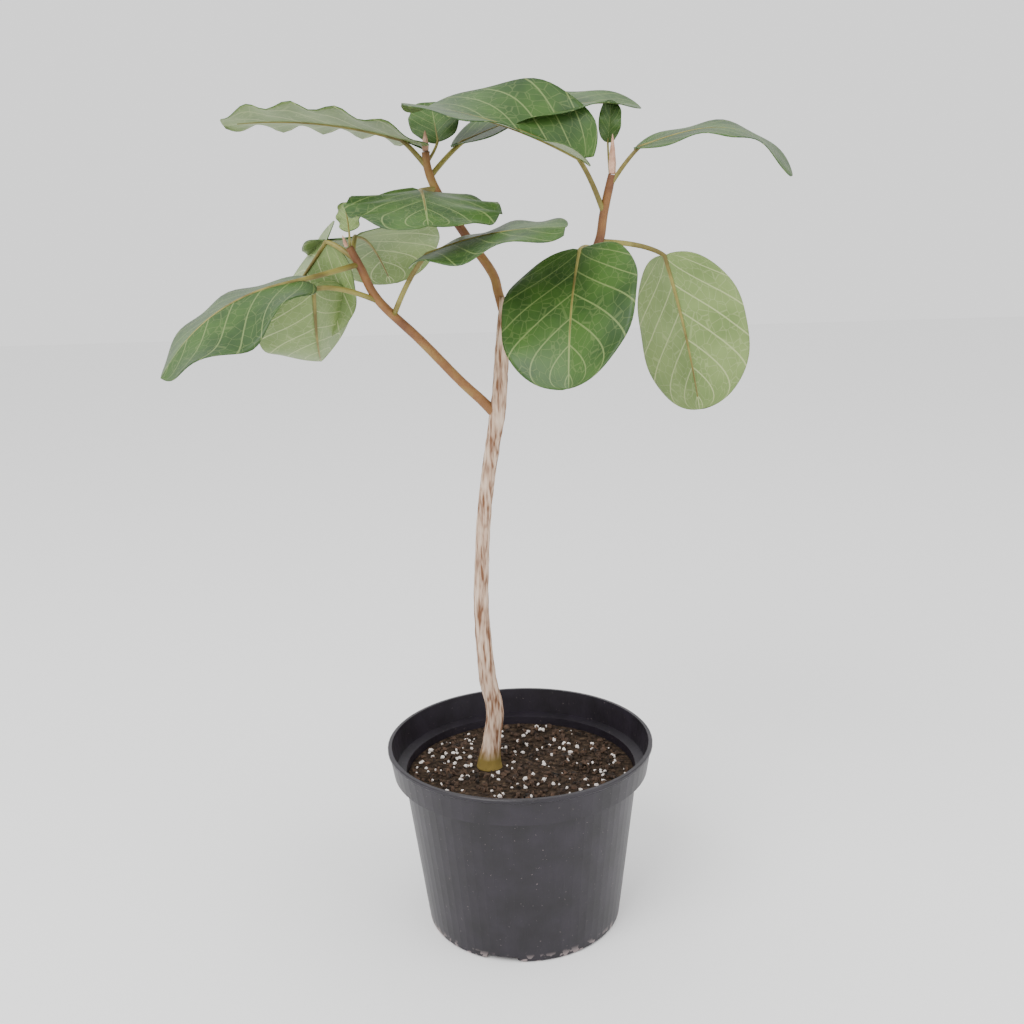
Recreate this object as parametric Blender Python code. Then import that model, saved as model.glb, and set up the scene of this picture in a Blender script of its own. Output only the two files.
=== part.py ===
"""A young fig tree in a nursery pot: pot, potting mix, pruned trunk, three boughs and their leaves.

Metres, Z up. The origin is the centre of the pot's flat underside, and -Y is the front.
"""

import math
from dataclasses import dataclass

import bmesh
import bpy
import numpy as np

# Clearance that neighbouring solids keep
GAP = 0.0003

# Pot, by its outer radii and heights
POT_HEIGHT = 0.142
RIM_RADIUS = 0.100
BAND_FOOT_RADIUS = 0.096
BAND_HEIGHT = 0.0225
BODY_TOP_RADIUS = 0.0885
BASE_RADIUS = 0.074
WALL = 0.0018
FLOOR = 0.0022
FOOT_CHAMFER = 0.0013
LEDGE_RISE = 0.0016
LIP_WIDTH = 0.0012
LIP_HEIGHT = 0.0022
POT_SIDES = 72

# Drain notches where the wall meets the floor
NOTCH_COUNT = 3
NOTCH_WIDTH = 0.028
NOTCH_HEIGHT = 0.0042
NOTCH_DEPTH = 0.013
NOTCH_AZIMUTH = -13.7

# Potting mix
SOIL_TOP = 0.1155
SOIL_SIDES = 48
SOIL_RINGS = (0.25, 0.5, 0.72, 0.88)
SOIL_RELIEF = 0.0016
SOIL_CALM_RADIUS = 0.022

# Trunk: where its axis passes, and its radius there
TRUNK = (
    ((-0.0240, 0.008, SOIL_TOP + GAP), 0.0102),
    ((-0.0236, 0.008, 0.122), 0.0086),
    ((-0.0215, 0.008, 0.137), 0.0070),
    ((-0.0185, 0.008, 0.162), 0.0067),
    ((-0.0228, 0.007, 0.187), 0.0067),
    ((-0.0250, 0.006, 0.219), 0.0061),
    ((-0.0258, 0.005, 0.251), 0.0056),
    ((-0.0240, 0.004, 0.282), 0.0054),
    ((-0.0218, 0.003, 0.312), 0.0053),
    ((-0.0178, 0.002, 0.342), 0.0053),
    ((-0.0128, 0.001, 0.371), 0.0054),
    ((-0.0095, 0.001, 0.389), 0.0058),
    ((-0.0070, 0.000, 0.408), 0.0054),
    ((-0.0040, 0.000, 0.440), 0.0052),
    ((0.0000, 0.000, 0.471), 0.0051),
)
TRUNK_SIDES = 16
TRUNK_STEPS = 3

# Boughs: where each axis passes, and its radius there. Each starts on the trunk's axis.
BOUGHS = {
    "left_bough": (
        ((-0.0090, 0.001, 0.388), 0.0040),
        ((-0.0200, 0.000, 0.400), 0.0036),
        ((-0.0350, -0.002, 0.415), 0.0034),
        ((-0.0610, -0.006, 0.444), 0.0033),
        ((-0.0880, -0.010, 0.472), 0.0031),
        ((-0.0985, -0.013, 0.494), 0.0029),
        ((-0.1050, -0.016, 0.508), 0.0026),
    ),
    "centre_bough": (
        ((-0.0020, 0.001, 0.458), 0.0036),
        ((-0.0060, 0.005, 0.474), 0.0034),
        ((-0.0100, 0.008, 0.488), 0.0033),
        ((-0.0250, 0.012, 0.510), 0.0032),
        ((-0.0380, 0.014, 0.530), 0.0031),
        ((-0.0470, 0.015, 0.545), 0.0030),
        ((-0.0520, 0.015, 0.559), 0.0029),
        ((-0.0530, 0.015, 0.570), 0.0027),
    ),
    "right_bough": (
        ((-0.0010, 0.001, 0.455), 0.0038),
        ((0.0160, 0.008, 0.466), 0.0036),
        ((0.0380, 0.010, 0.480), 0.0034),
        ((0.0570, 0.009, 0.494), 0.0033),
        ((0.0650, 0.008, 0.508), 0.0032),
        ((0.0680, 0.008, 0.525), 0.0031),
        ((0.0715, 0.007, 0.541), 0.0030),
        ((0.0740, 0.006, 0.551), 0.0028),
    ),
}
BOUGH_SIDES = 12
BOUGH_STEPS = 3
BUD_SIDES = 8

# Leaf form shared by every leaf
PETIOLE_RADIUS = 0.0023
PETIOLE_SIDES = 6
PETIOLE_STEPS = 6
PETIOLE_SPRING = 0.35
MIDRIB_STEPS = 5
MIDRIB_REACH = 0.8
MIDRIB_TIP = 0.4
WIDEST = 0.47
ROUNDNESS = 0.92
ALONG = 12
ACROSS = 3
LEAF_THICK = 0.0013


@dataclass
class Leaf:
    """One leaf: a stalk from its bough and a broad blade held between a base and a tip.

    face is where the upper side looks. rise and bow bend the midrib upwards and to the right as
    shares of the blade's length, and lean moves that bend towards the tip. twist turns the blade
    about its midrib by the tip. fold lifts the left and right halves, in degrees, and changes to
    tip_fold along the blade. curl bends them on towards their margins. The waves are the height,
    count and start of the ripples along the margins, lobe is how far these run behind the base,
    and widest where the blade is.
    """

    name: str
    bough: str
    root: float
    base: tuple
    tip: tuple
    face: tuple
    width: float
    rise: float = 0.05
    bow: float = 0.0
    lean: float = 0.0
    twist: float = 0.0
    fold: tuple = (8.0, 8.0)
    tip_fold: tuple = ()
    curl: tuple = (0.0, 0.0)
    left_wave: tuple = (0.0015, 2.5, 0.0)
    right_wave: tuple = (0.0015, 2.5, 0.4)
    lobe: float = 0.04
    widest: float = WIDEST
    thick: float = LEAF_THICK
    stalk: float = PETIOLE_RADIUS


LEAVES = (
    Leaf(
        name="left_leaf_outer",
        bough="left_bough",
        root=0.86,
        base=(-0.139, -0.045, 0.487),
        tip=(-0.222, -0.075, 0.430),
        face=(-0.15, -0.1, 1.0),
        width=0.092,
        rise=0.12,
        fold=(-22.0, 0.0),
        left_wave=(0.007, 1.4, 0.1),
        lobe=0.13,
    ),
    Leaf(
        name="left_leaf_low",
        bough="left_bough",
        root=0.66,
        base=(-0.130, -0.020, 0.481),
        tip=(-0.138, 0.040, 0.427),
        face=(0.0, 0.6, 0.8),
        width=0.084,
        rise=-0.12,
        fold=(0.0, 52.0),
    ),
    Leaf(
        name="left_leaf_back",
        bough="left_bough",
        root=0.88,
        base=(-0.122, -0.005, 0.512),
        tip=(-0.174, 0.035, 0.455),
        face=(0.34, 0.90, 0.27),
        width=0.088,
        fold=(70.0, 0.0),
    ),
    Leaf(
        name="left_leaf_rear",
        bough="left_bough",
        root=0.95,
        base=(-0.103, 0.002, 0.515),
        tip=(-0.088, 0.085, 0.480),
        face=(-0.1, 0.4, 0.9),
        width=0.100,
        rise=0.12,
        fold=(4.0, 4.0),
    ),
    Leaf(
        name="left_leaf_inner",
        bough="left_bough",
        root=0.60,
        base=(-0.051, -0.048, 0.502),
        tip=(0.037, -0.080, 0.516),
        face=(0.0, -0.2, 1.0),
        width=0.090,
        fold=(-2.0, -6.0),
        right_wave=(0.004, 1.6, 0.1),
        lobe=0.12,
    ),
    Leaf(
        name="left_leaf_young",
        bough="left_bough",
        root=0.99,
        base=(-0.1045, -0.016, 0.519),
        tip=(-0.107, -0.016, 0.537),
        face=(0.5, 0.8, 0.0),
        width=0.020,
        stalk=0.0010,
    ),
    Leaf(
        name="centre_leaf_long",
        bough="centre_bough",
        root=0.86,
        base=(-0.070, 0.018, 0.579),
        tip=(-0.194, 0.032, 0.593),
        face=(0.0, 0.1, 1.0),
        width=0.086,
        fold=(4.0, 4.0),
        left_wave=(0.0025, 4.0, 0.1),
        right_wave=(0.003, 4.5, 0.4),
        lobe=0.17,
        widest=0.38,
    ),
    Leaf(
        name="centre_leaf_back",
        bough="centre_bough",
        root=0.80,
        base=(-0.028, 0.030, 0.577),
        tip=(0.097, 0.040, 0.598),
        face=(0.0, -0.3, 0.95),
        width=0.080,
        rise=0.08,
        lean=0.3,
        fold=(4.0, 9.0),
        lobe=0.07,
    ),
    Leaf(
        name="centre_leaf_front",
        bough="centre_bough",
        root=0.72,
        base=(-0.0565, -0.002, 0.544),
        tip=(-0.046, -0.100, 0.519),
        face=(0.0, -0.23, 0.97),
        width=0.102,
        fold=(-11.0, -3.0),
        left_wave=(0.0022, 3.5, 0.0),
        right_wave=(0.0022, 3.5, 0.4),
    ),
    Leaf(
        name="centre_leaf_young",
        bough="centre_bough",
        root=0.90,
        base=(-0.045, 0.028, 0.578),
        tip=(-0.050, 0.049, 0.606),
        face=(0.0, -0.8, 0.3),
        width=0.036,
        stalk=0.0014,
    ),
    Leaf(
        name="right_leaf_upper",
        bough="right_bough",
        root=0.72,
        base=(0.050, -0.004, 0.562),
        tip=(-0.065, -0.020, 0.598),
        face=(0.0, 0.0, 1.0),
        width=0.094,
        fold=(-4.0, 88.0),
        tip_fold=(-14.0, -8.0),
        lobe=0.08,
    ),
    Leaf(
        name="right_leaf_front",
        bough="right_bough",
        root=0.50,
        base=(0.0485, -0.038, 0.502),
        tip=(0.036, -0.108, 0.420),
        face=(-0.42, -0.66, 0.6),
        width=0.094,
        lobe=0.01,
    ),
    Leaf(
        name="right_leaf_hanging",
        bough="right_bough",
        root=0.56,
        base=(0.113, 0.030, 0.496),
        tip=(0.140, 0.034, 0.384),
        face=(0.48, 0.87, 0.1),
        width=0.092,
        fold=(29.0, 29.0),
        tip_fold=(15.0, 29.0),
        lobe=0.0,
        widest=0.52,
    ),
    Leaf(
        name="right_leaf_arching",
        bough="right_bough",
        root=0.88,
        base=(0.092, 0.000, 0.568),
        tip=(0.193, -0.010, 0.546),
        face=(0.0, 0.0, 1.0),
        width=0.050,
        rise=0.21,
        lean=0.3,
        fold=(14.0, -14.0),
        stalk=0.0019,
    ),
    Leaf(
        name="right_leaf_young",
        bough="right_bough",
        root=0.93,
        base=(0.0720, 0.0145, 0.574),
        tip=(0.0745, 0.0150, 0.600),
        face=(0.0, -1.0, 0.0),
        width=0.017,
        fold=(25.0, 25.0),
        stalk=0.0010,
    ),
)

# Buds: the pointed sheaths that close the boughs' tips, by their feet, tips and radius
BUDS = {
    "left_bud": ((-0.1065, -0.019, 0.5085), (-0.1085, -0.021, 0.516), 0.0014),
    "centre_bud": ((-0.0530, 0.015, 0.5703), (-0.0528, 0.015, 0.584), 0.0026),
    "right_bud": ((0.0740, 0.006, 0.5513), (0.0745, 0.006, 0.5775), 0.0027),
}

COLOURS = {
    "pot": ((0.030, 0.022, 0.034), 0.42),
    "soil": ((0.040, 0.028, 0.020), 0.95),
    "trunk": ((0.36, 0.24, 0.17), 0.80),
    "bough": ((0.16, 0.075, 0.025), 0.60),
    "leaf": ((0.10, 0.20, 0.035), 0.50),
    "young_leaf": ((0.20, 0.25, 0.045), 0.50),
    "bud": ((0.50, 0.28, 0.18), 0.55),
}


def clear_scene():
    for obj in list(bpy.data.objects):
        bpy.data.objects.remove(obj, do_unlink=True)


def material(name):
    """The named plain material, made once."""
    if name in bpy.data.materials:
        return bpy.data.materials[name]
    colour, roughness = COLOURS[name]
    made = bpy.data.materials.new(name)
    made.use_nodes = True
    shader = made.node_tree.nodes["Principled BSDF"]
    shader.inputs["Base Color"].default_value = (*colour, 1.0)
    shader.inputs["Roughness"].default_value = roughness
    shader.inputs["Metallic"].default_value = 0.0
    return made


def unit(vector):
    vector = np.asarray(vector, float)
    return vector / np.linalg.norm(vector, axis=-1, keepdims=True)


def object_from(name, points, faces, slot, smooth=True):
    """An object whose faces all look outwards."""
    mesh = bpy.data.meshes.new(name)
    shape = bmesh.new()
    corners = [shape.verts.new(tuple(map(float, point))) for point in points]
    for face in faces:
        shape.faces.new([corners[i] for i in face])
    bmesh.ops.recalc_face_normals(shape, faces=shape.faces)
    shape.to_mesh(mesh)
    shape.free()
    if smooth:
        mesh.shade_smooth()
        mesh.set_sharp_from_angle(angle=math.radians(40))
    made = bpy.data.objects.new(name, mesh)
    made.data.materials.append(material(slot))
    bpy.context.scene.collection.objects.link(made)
    return made


def combine(target, helpers, operation, solver="EXACT"):
    """Joins the helpers to the target, or cuts them from it, and removes them."""
    group = bpy.data.collections.new("helpers")
    bpy.context.scene.collection.children.link(group)
    for helper in helpers:
        bpy.context.scene.collection.objects.unlink(helper)
        group.objects.link(helper)
    boolean = target.modifiers.new("combine", "BOOLEAN")
    boolean.operation = operation
    boolean.solver = solver
    boolean.operand_type = "COLLECTION"
    boolean.collection = group
    graph = bpy.context.evaluated_depsgraph_get()
    mesh = bpy.data.meshes.new_from_object(target.evaluated_get(graph))
    target.modifiers.clear()
    target.data = mesh
    for helper in helpers:
        bpy.data.objects.remove(helper, do_unlink=True)
    bpy.data.collections.remove(group)


def smooth_path(knots, steps):
    """Points and radii on a smooth curve through the knots, each a place and a radius."""
    rows = np.array([(*place, radius) for place, radius in knots])
    ends = np.vstack([2 * rows[0] - rows[1], rows, 2 * rows[-1] - rows[-2]])
    t = np.linspace(0.0, 1.0, steps, endpoint=False)[:, None]
    found = []
    for before, start, end, after in zip(ends, ends[1:], ends[2:], ends[3:]):
        found.append(
            0.5
            * (
                2 * start
                + (end - before) * t
                + (2 * before - 5 * start + 4 * end - after) * t**2
                + (3 * start - before - 3 * end + after) * t**3
            )
        )
    found.append(rows[-1:])
    rows = np.vstack(found)
    return rows[:, :3], rows[:, 3]


def tube(name, points, radii, sides, slot, level_foot=False):
    """A round limb along the points, with flat ends. level_foot keeps its first end level."""
    heading = unit(np.gradient(points, axis=0))
    if level_foot:
        heading[0] = (0.0, 0.0, 1.0)
    turn = 2 * math.pi * np.arange(sides) / sides
    side = unit(np.cross(heading[0], (0.31, 0.95, 0.05)))
    corners = []
    for place, radius, ahead in zip(points, radii, heading):
        side = unit(side - ahead * (side @ ahead))
        up = np.cross(ahead, side)
        ring = np.outer(np.cos(turn), side) + np.outer(np.sin(turn), up)
        corners.extend(place + radius * ring)
    faces = []
    for i in range(len(points) - 1):
        for k in range(sides):
            low, high = i * sides, (i + 1) * sides
            after = (k + 1) % sides
            faces.append((low + k, low + after, high + after, high + k))
    faces.append(tuple(reversed(range(sides))))
    faces.append(tuple(range(len(corners) - sides, len(corners))))
    return object_from(name, corners, faces, slot)


def turned(name, outline, sides, slot):
    """A shape turned about Z from an outline of radii and heights that starts and ends on the axis."""
    rings = outline[1:-1]
    corners = [(0.0, 0.0, outline[0][1])]
    for radius, height in rings:
        for k in range(sides):
            angle = 2 * math.pi * k / sides
            corners.append((radius * math.cos(angle), radius * math.sin(angle), height))
    corners.append((0.0, 0.0, outline[-1][1]))
    last = len(corners) - 1
    faces = []
    for k in range(sides):
        after = (k + 1) % sides
        faces.append((0, 1 + after, 1 + k))
        for i in range(len(rings) - 1):
            low, high = 1 + i * sides, 1 + (i + 1) * sides
            faces.append((low + k, low + after, high + after, high + k))
        top = 1 + (len(rings) - 1) * sides
        faces.append((top + k, top + after, last))
    return object_from(name, corners, faces, slot)


def pot_inner_radius(height):
    """Radius of the pot's inside below its ledge."""
    slope = (BODY_TOP_RADIUS - BASE_RADIUS) / (POT_HEIGHT - BAND_HEIGHT)
    return BASE_RADIUS + slope * height - WALL


def pot_outline():
    """The pot's wall from the middle of its underside, up the outside and down the inside."""
    step = POT_HEIGHT - BAND_HEIGHT
    inner_step = step + WALL
    return (
        (0.0, 0.0),
        (BASE_RADIUS - FOOT_CHAMFER, 0.0),
        (BASE_RADIUS, FOOT_CHAMFER),
        (BODY_TOP_RADIUS, step),
        (BAND_FOOT_RADIUS, step + LEDGE_RISE),
        (RIM_RADIUS - LIP_WIDTH, POT_HEIGHT - 1.6 * LIP_HEIGHT),
        (RIM_RADIUS, POT_HEIGHT - LIP_HEIGHT),
        (RIM_RADIUS, POT_HEIGHT - 0.3 * LIP_HEIGHT),
        (RIM_RADIUS - 0.5 * LIP_WIDTH, POT_HEIGHT),
        (RIM_RADIUS - LIP_WIDTH - WALL, POT_HEIGHT),
        (BAND_FOOT_RADIUS - WALL, inner_step + LEDGE_RISE),
        (pot_inner_radius(inner_step), inner_step),
        (pot_inner_radius(FLOOR), FLOOR),
        (0.0, FLOOR),
    )


def notch_cutter(index):
    """A block that opens one drain notch through the wall's foot and the floor's edge."""
    angle = math.radians(NOTCH_AZIMUTH - 90.0 + 360.0 * index / NOTCH_COUNT)
    mesh = bpy.data.meshes.new("notch")
    shape = bmesh.new()
    bmesh.ops.create_cube(shape, size=1.0)
    bmesh.ops.scale(shape, vec=(2 * NOTCH_DEPTH, NOTCH_WIDTH, 2 * NOTCH_HEIGHT), verts=shape.verts)
    upright = [e for e in shape.edges if abs(e.verts[0].co.x - e.verts[1].co.x) > NOTCH_DEPTH]
    bmesh.ops.bevel(shape, geom=upright, offset=NOTCH_HEIGHT * 0.6, segments=3, affect="EDGES")
    shape.to_mesh(mesh)
    shape.free()
    cutter = bpy.data.objects.new("notch", mesh)
    bpy.context.scene.collection.objects.link(cutter)
    reach = BASE_RADIUS
    cutter.location = (reach * math.cos(angle), reach * math.sin(angle), 0.0)
    cutter.rotation_euler = (0.0, 0.0, angle)
    return cutter


def make_pot():
    pot = turned("pot", pot_outline(), POT_SIDES, "pot")
    combine(pot, [notch_cutter(i) for i in range(NOTCH_COUNT)], "DIFFERENCE")


def soil_relief(x, y):
    """Height of the mix over its mean level: gentle hollows, flat about the trunk's foot."""
    foot = TRUNK[0][0]
    away = math.hypot(x - foot[0], y - foot[1])
    calm = min(1.0, max(0.0, away / SOIL_CALM_RADIUS - 1.0))
    waves = math.sin(71 * x + 1.3) * math.cos(58 * y - 0.4) + 0.5 * math.sin(133 * y + 97 * x)
    return SOIL_RELIEF * calm * waves / 1.5


def make_soil():
    """The mix fills the pot and clears its inside by the usual gap."""
    floor = FLOOR + GAP
    low, high = pot_inner_radius(floor) - GAP, pot_inner_radius(SOIL_TOP) - GAP
    turn = 2 * math.pi / SOIL_SIDES
    rings = [(low, floor), (high, SOIL_TOP)]
    rings += [(high * share, SOIL_TOP) for share in reversed(SOIL_RINGS)]
    corners = [(0.0, 0.0, floor)]
    for i, (radius, height) in enumerate(rings):
        for k in range(SOIL_SIDES):
            x, y = radius * math.cos(k * turn), radius * math.sin(k * turn)
            corners.append((x, y, height + (soil_relief(x, y) if i > 1 else 0.0)))
    corners.append((0.0, 0.0, SOIL_TOP + soil_relief(0.0, 0.0)))
    last = len(corners) - 1
    faces = []
    for k in range(SOIL_SIDES):
        after = (k + 1) % SOIL_SIDES
        faces.append((0, 1 + after, 1 + k))
        for i in range(len(rings) - 1):
            a, b = 1 + i * SOIL_SIDES, 1 + (i + 1) * SOIL_SIDES
            faces.append((a + k, a + after, b + after, b + k))
        top = 1 + (len(rings) - 1) * SOIL_SIDES
        faces.append((top + k, top + after, last))
    object_from("soil", corners, faces, "soil")


def limb(name, knots, sides, steps, slot, grown=0.0, level_foot=False):
    """A tapering limb through the knots, its radius grown by the given amount."""
    points, radii = smooth_path(knots, steps)
    return tube(name, points, radii + grown, sides, slot, level_foot)


def trunk_clearance():
    """The trunk with its clearance, as a cutter."""
    return limb("clearance", TRUNK, TRUNK_SIDES, TRUNK_STEPS, "trunk", GAP, level_foot=True)


def make_limbs():
    limb("trunk", TRUNK, TRUNK_SIDES, TRUNK_STEPS, "trunk", level_foot=True)
    for name, knots in BOUGHS.items():
        bough = limb(name, knots, BOUGH_SIDES, BOUGH_STEPS, "bough")
        combine(bough, [trunk_clearance()], "DIFFERENCE")


def bough_clearances():
    """The boughs with their clearance, as cutters, with their ends run on by the gap."""
    cutters = []
    for knots in BOUGHS.values():
        (before, _), (end, radius) = knots[-2:]
        ahead = unit(np.subtract(end, before))
        longer = (*knots, (tuple(end + GAP * ahead), radius))
        cutters.append(limb("clearance", longer, BOUGH_SIDES, BOUGH_STEPS, "bough", GAP))
    return cutters


def limb_clearances():
    """The trunk, the boughs and the buds, each with its clearance, as cutters."""
    cutters = [trunk_clearance(), *bough_clearances()]
    for foot, tip, radius in BUDS.values():
        cutters.append(make_bud("clearance", foot, tip, radius + GAP))
    return cutters


def make_bud(name, foot, tip, radius):
    """A pointed sheath, widest a little above its foot."""
    shape = ((0.0, 0.85), (0.25, 1.0), (0.6, 0.7), (0.88, 0.3), (1.0, 0.06))
    foot, tip = np.array(foot), np.array(tip)
    points = np.array([foot + share * (tip - foot) for share, _ in shape])
    radii = radius * np.array([size for _, size in shape])
    return tube(name, points, radii, BUD_SIDES, "bud")


def midrib(leaf, s):
    """Places on the midrib. s is 0 at the blade's base and 1 at its tip, and may run below 0."""
    base, tip = np.array(leaf.base), np.array(leaf.tip)
    ahead = tip - base
    length = np.linalg.norm(ahead)
    up = np.array(leaf.face, float)
    up = unit(up - unit(ahead) * (up @ unit(ahead)))
    right = np.cross(unit(ahead), up)
    arch = 4 * s * (1 - s) * (1 + leaf.lean * (2 * s - 1))
    return base + s * ahead + length * arch * (leaf.rise * up + leaf.bow * right)


def blade_frame(leaf, s):
    """Midrib places with the directions ahead, right and up there, for a column of s."""
    small = 1e-3
    inside = np.maximum(s, 0.0)
    places = midrib(leaf, inside)
    ahead = unit(midrib(leaf, inside + small) - midrib(leaf, inside - small))
    length = np.linalg.norm(np.subtract(leaf.tip, leaf.base))
    places = places + (s - inside) * length * ahead
    face = np.array(leaf.face, float)
    up = unit(face - ahead * (ahead @ face)[:, None])
    right = np.cross(ahead, up)
    turn = np.radians(leaf.twist) * inside
    turned_up = up * np.cos(turn) - right * np.sin(turn)
    turned_right = right * np.cos(turn) + up * np.sin(turn)
    return places, ahead, turned_right, turned_up


def margin(leaf, t):
    """The half outline from base to tip, an oval that begins behind the base by the lobe."""
    around = np.cos(np.pi * t)
    reach = np.where(around > 0, leaf.widest + leaf.lobe, 1.0 - leaf.widest)
    width = np.sin(np.pi * t) ** ROUNDNESS
    return leaf.widest - reach * around, width


def on_blade(leaf, side, along, across, out):
    """Places on the blade. along is a share of the length and across one of the half width.

    side is -1 for the left half and 1 for the right one. out runs from 0 at the midrib to 1 at
    the margin and scales the ripples.
    """
    half = 0 if side < 0 else 1
    places, ahead, right, up = blade_frame(leaf, along[:, None])
    ended = (leaf.tip_fold or leaf.fold)[half]
    fold = np.radians(leaf.fold[half] + (ended - leaf.fold[half]) * np.clip(along, 0.0, 1.0))
    bend = np.radians(leaf.curl[half]) * across / 2
    flat = across * np.cos(fold + bend) * np.sinc(bend / np.pi)
    high = across * np.sin(fold + bend) * np.sinc(bend / np.pi)
    height, count, start = (leaf.left_wave, leaf.right_wave)[half]
    ripple = height * out**2 * np.sin(2 * np.pi * (count * along + start))
    half_width = leaf.width / 2
    return (
        places
        + right * (side * half_width * flat)[:, None]
        + up * (half_width * high + ripple)[:, None]
    )


def blade_rows(leaf, side):
    """Rows of blade points from the midrib out to one margin, base and tip left out."""
    t = np.arange(1, ALONG) / ALONG
    even = (1 - np.cos(np.pi * t)) / 2
    along, width = margin(leaf, t)
    rows = []
    for k in range(ACROSS + 1):
        out = k / ACROSS
        rows.append(
            on_blade(leaf, side, even + (along - even) * out, width * out, np.full(len(even), out))
        )
    return np.stack(rows, axis=1)


def blade_sheet(leaf):
    """The blade as a sheet with no thickness: its points and faces."""
    left, right = blade_rows(leaf, -1.0), blade_rows(leaf, 1.0)
    rows = np.concatenate([left[:, :0:-1], right], axis=1)
    count = rows.shape[1]
    ends = midrib(leaf, np.array([[0.0], [1.0]]))
    corners = [ends[0], *rows.reshape(-1, 3), ends[1]]
    last = len(corners) - 1
    faces = []
    for k in range(count - 1):
        faces.append((0, 1 + k, 2 + k))
        for i in range(len(rows) - 1):
            a, b = 1 + i * count + k, 1 + (i + 1) * count + k
            faces.append((a, b, b + 1, a + 1))
        top = 1 + (len(rows) - 1) * count + k
        faces.append((top, last, top + 1))
    return corners, faces


def face_outwards(mesh):
    shape = bmesh.new()
    shape.from_mesh(mesh)
    bmesh.ops.recalc_face_normals(shape, faces=shape.faces)
    shape.to_mesh(mesh)
    shape.free()


def thick_sheet(name, corners, faces, thickness, slot):
    """The sheet given its thickness, half on each side."""
    sheet = object_from(name, corners, faces, slot)
    solidify = sheet.modifiers.new("thickness", "SOLIDIFY")
    solidify.thickness = thickness
    solidify.offset = 0.0
    graph = bpy.context.evaluated_depsgraph_get()
    mesh = bpy.data.meshes.new_from_object(sheet.evaluated_get(graph))
    face_outwards(mesh)
    sheet.modifiers.clear()
    sheet.data = mesh
    return sheet


def stalk_path(leaf):
    """The stalk's places and radii, from the bough's axis to the blade and along its midrib."""
    axis, _ = smooth_path(BOUGHS[leaf.bough], BOUGH_STEPS)
    reach = np.linspace(0.0, 1.0, len(axis))
    root = np.array([np.interp(leaf.root, reach, axis[:, i]) for i in range(3)])
    base = np.array(leaf.base)
    _, ahead, _, up = blade_frame(leaf, np.array([[0.0]]))
    span = np.linalg.norm(base - root)
    arrive = unit(base - root) + 0.5 * ahead[0]
    bend = base - PETIOLE_SPRING * span * unit(arrive)
    t = np.linspace(0.0, 1.0, PETIOLE_STEPS)[:, None]
    stalk = (1 - t) ** 2 * root + 2 * t * (1 - t) * bend + t**2 * base
    s = np.linspace(0.0, MIDRIB_REACH, MIDRIB_STEPS)[1:, None]
    rib, _, _, rib_up = blade_frame(leaf, s)
    sunk = 0.45 * leaf.thick
    points = np.vstack([stalk, rib - sunk * rib_up])
    thin = np.concatenate([np.linspace(1.0, 0.8, PETIOLE_STEPS), np.linspace(0.7, MIDRIB_TIP, len(s))])
    return points, leaf.stalk * thin


def leaf_solids(leaf, grown=0.0):
    """The blade and its stalk, which runs on sunk in along the midrib."""
    slot = "young_leaf" if "young" in leaf.name else "leaf"
    corners, faces = blade_sheet(leaf)
    blade = thick_sheet(leaf.name, corners, faces, leaf.thick + 2 * grown, slot)
    points, radii = stalk_path(leaf)
    return blade, tube("stalk", points, radii + grown, PETIOLE_SIDES, slot)


def keep_largest(obj):
    """Removes every loose scrap of a mesh but its largest piece."""
    shape = bmesh.new()
    shape.from_mesh(obj.data)
    waiting = set(shape.verts)
    pieces = []
    while waiting:
        piece = set()
        edge = [waiting.pop()]
        while edge:
            corner = edge.pop()
            piece.add(corner)
            near = {e.other_vert(corner) for e in corner.link_edges} & waiting
            waiting -= near
            edge.extend(near)
        pieces.append(piece)
    pieces.sort(key=len)
    for piece in pieces[:-1]:
        bmesh.ops.delete(shape, geom=list(piece), context="VERTS")
    shape.to_mesh(obj.data)
    shape.free()


def make_leaf(leaf, earlier):
    """A leaf cut clear of the limbs and of the leaves made before it."""
    blade, stalk = leaf_solids(leaf)
    combine(blade, [stalk], "UNION", "MANIFOLD")
    cutters = limb_clearances()
    for other in earlier:
        cutters.extend(leaf_solids(other, GAP))
    combine(blade, cutters, "DIFFERENCE", "MANIFOLD")
    keep_largest(blade)


def main():
    clear_scene()
    make_pot()
    make_soil()
    make_limbs()
    for name, (foot, tip, radius) in BUDS.items():
        bud = make_bud(name, foot, tip, radius)
        combine(bud, bough_clearances(), "DIFFERENCE", "MANIFOLD")
        keep_largest(bud)
    for i, leaf in enumerate(LEAVES):
        make_leaf(leaf, LEAVES[:i])


if __name__ == "__main__":
    main()
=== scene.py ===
"""Looks of the young fig tree in its nursery pot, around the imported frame. Metres, Z up."""

import math
import random
from dataclasses import dataclass

import bmesh
import bpy
import numpy as np
from mathutils import Matrix, Vector, noise


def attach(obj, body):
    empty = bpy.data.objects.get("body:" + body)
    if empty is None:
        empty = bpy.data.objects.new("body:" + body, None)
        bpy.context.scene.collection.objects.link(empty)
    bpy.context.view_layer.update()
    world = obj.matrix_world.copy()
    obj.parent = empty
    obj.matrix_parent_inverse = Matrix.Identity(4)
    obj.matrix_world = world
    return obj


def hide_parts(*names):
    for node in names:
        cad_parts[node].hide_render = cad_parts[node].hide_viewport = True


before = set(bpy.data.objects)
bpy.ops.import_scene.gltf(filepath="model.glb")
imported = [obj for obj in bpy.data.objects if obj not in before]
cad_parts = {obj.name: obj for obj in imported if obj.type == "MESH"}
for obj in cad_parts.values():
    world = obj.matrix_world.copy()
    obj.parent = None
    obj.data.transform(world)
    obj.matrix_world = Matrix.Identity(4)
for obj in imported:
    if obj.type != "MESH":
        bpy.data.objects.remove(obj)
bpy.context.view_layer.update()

# Camera, as the photograph was taken: place, tilt and roll in degrees, lens in millimetres
CAMERA_PLACE = (-0.001, -0.8, 0.5074)
CAMERA_TILT = 76.7
CAMERA_ROLL = -1.68
CAMERA_LENS = 39.94
CAMERA_NEAREST = 0.01

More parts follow.
